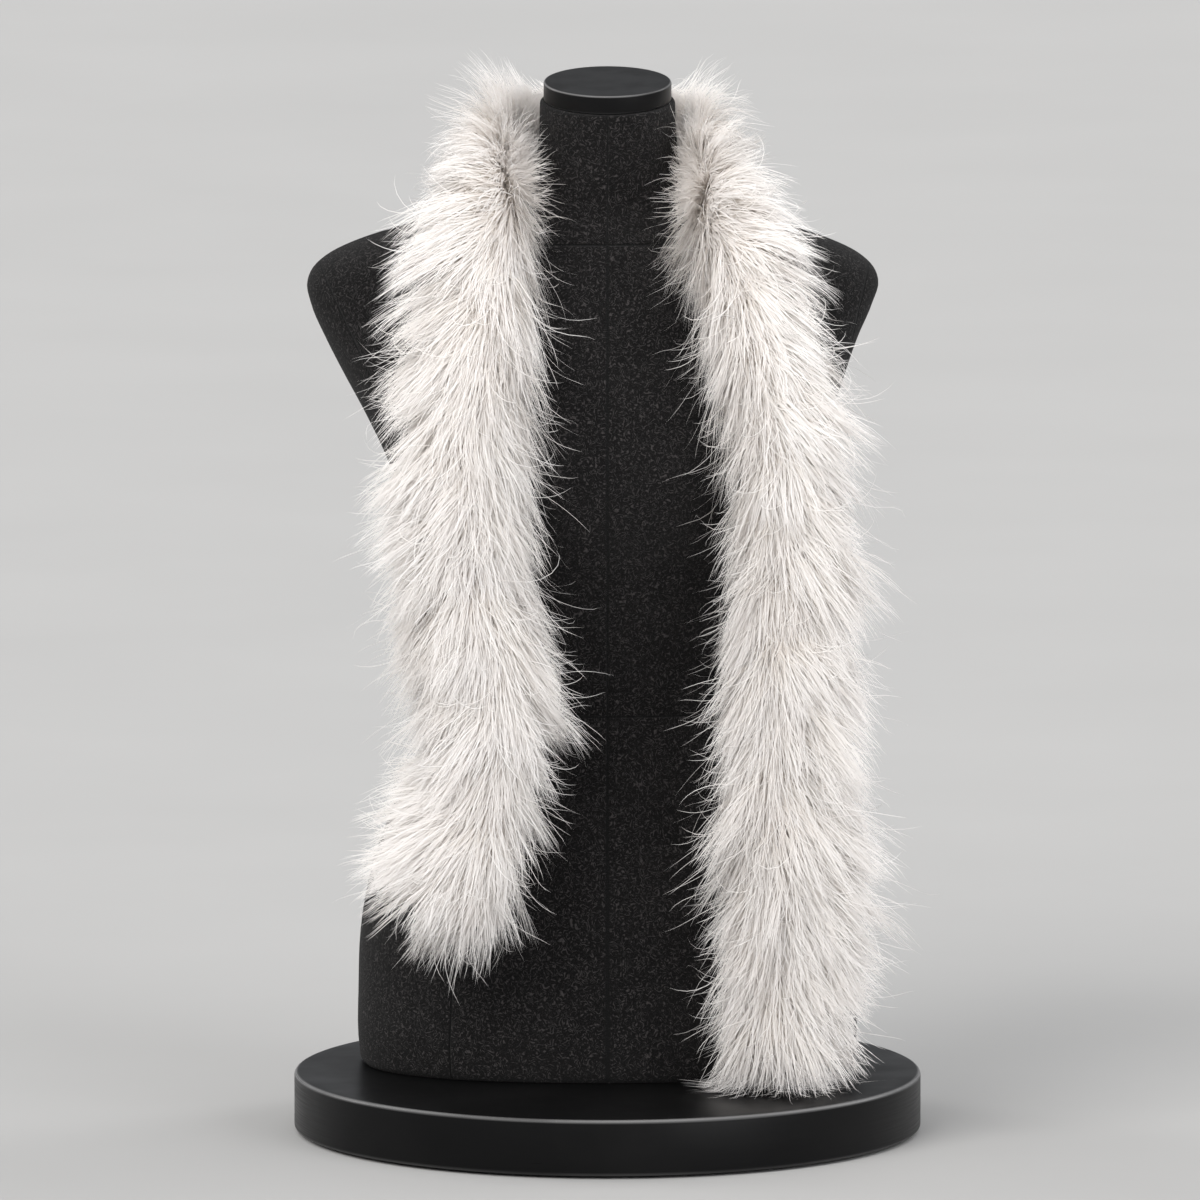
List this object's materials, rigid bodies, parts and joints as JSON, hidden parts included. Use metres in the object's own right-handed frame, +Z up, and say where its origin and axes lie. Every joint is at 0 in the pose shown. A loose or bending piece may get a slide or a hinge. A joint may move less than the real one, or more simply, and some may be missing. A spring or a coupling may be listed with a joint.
{
  "type": "faux fur scarf on dress form",
  "caption": "Long ivory faux fur scarf laid round the neck of a limbless charcoal dress form on a round black base, its ends hanging down the front.",
  "frame": {"origin": "middle of the base's underside", "axes": "+Z up the form, -Y the front, +X to the viewer's right"},
  "size_m": [0.452, 0.452, 0.7652],
  "materials": {
    "base": "satin black, fine turned brushing on the side",
    "cap": "satin black",
    "form_cloth": "charcoal boucle cloth with light grey fibres",
    "fur": "long silky ivory white faux fur"
  },
  "bodies": {
    "root": {"base_disc": "base", "neck_cap": "cap", "form_body": "form_cloth", "scarf_left_fall": "fur", "scarf_neck": "fur", "scarf_right_fall": "fur"}
  },
  "joints": []
}
